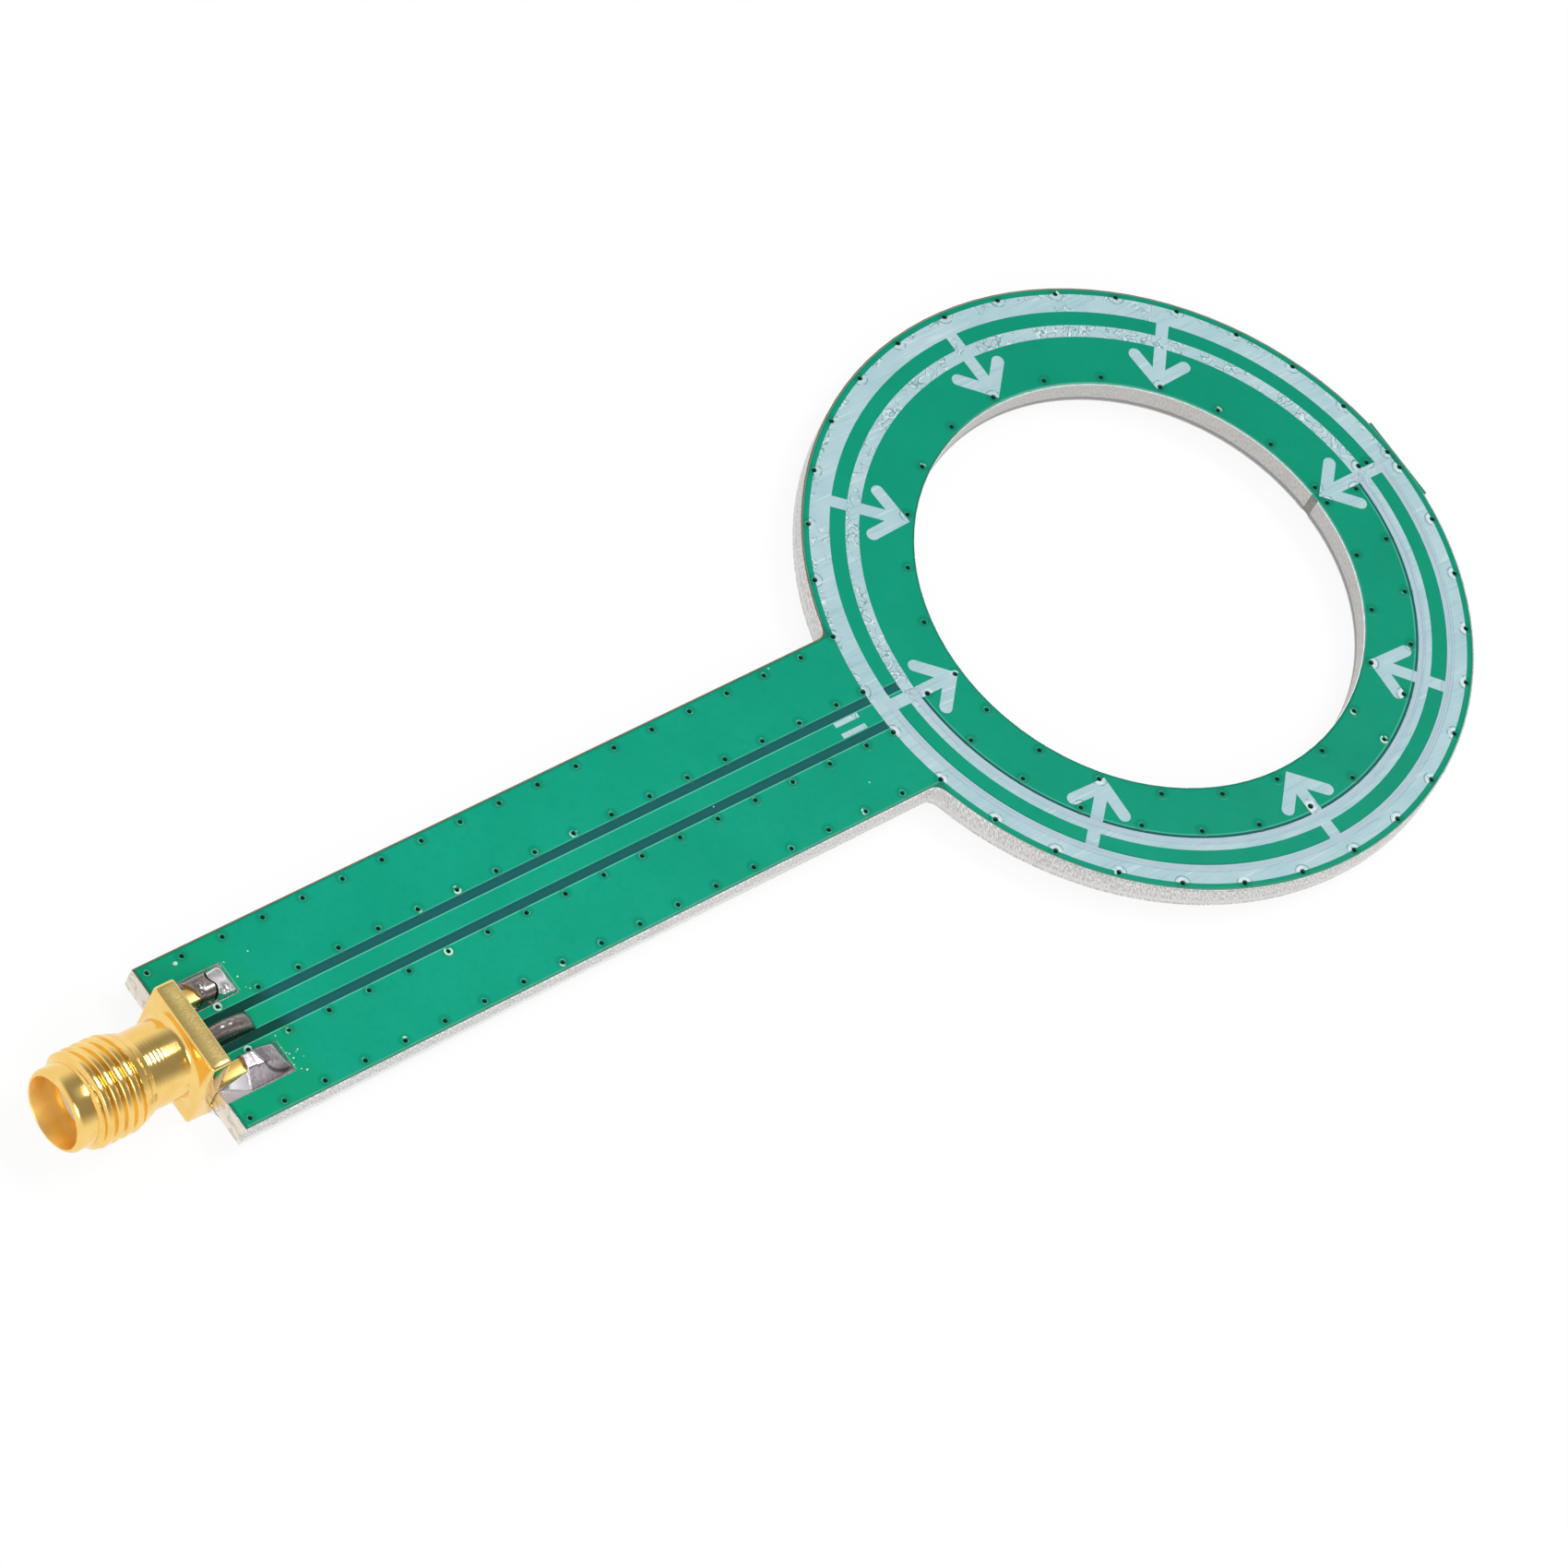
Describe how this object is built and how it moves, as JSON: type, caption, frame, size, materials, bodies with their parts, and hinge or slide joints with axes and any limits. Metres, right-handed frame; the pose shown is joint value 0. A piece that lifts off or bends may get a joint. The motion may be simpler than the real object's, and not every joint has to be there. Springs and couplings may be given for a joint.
{
  "type": "near field probe",
  "caption": "Hand-held magnetic near field probe: a shielded loop on a ring-shaped circuit board with a straight handle and a coaxial edge-launch jack.",
  "frame": {"origin": "centre of the loop's window, at half the board's thickness", "axes": "+Z out of the printed side along the window's axis, +X from the connector along the handle to the loop"},
  "size_m": [0.1081, 0.0452, 0.0063],
  "materials": {
    "laminate": "matt woven glass-epoxy",
    "copper": "plain copper",
    "edge_tin": "satin tin with fine milling marks",
    "solder_mask": "glossy green lacquer",
    "legend_ink": "matt pale ink",
    "gold_plate": "bright gold plating",
    "insulator": "waxy white",
    "solder": "bright tin solder"
  },
  "bodies": {
    "root": {"laminate": "laminate", "top_ground_copper": "copper", "signal_strip": "copper", "bottom_ground_copper": "copper", "outer_edge_plating": "edge_tin", "inner_edge_plating": "edge_tin", "via_barrels": "copper", "top_solder_mask": "solder_mask", "bottom_solder_mask": "solder_mask", "top_legend": "legend_ink", "connector_shell": "gold_plate", "connector_insulator": "insulator", "connector_contact": "gold_plate", "left_top_solder": "solder", "right_top_solder": "solder", "signal_solder": "solder", "left_bottom_solder": "solder", "right_bottom_solder": "solder"}
  },
  "joints": []
}
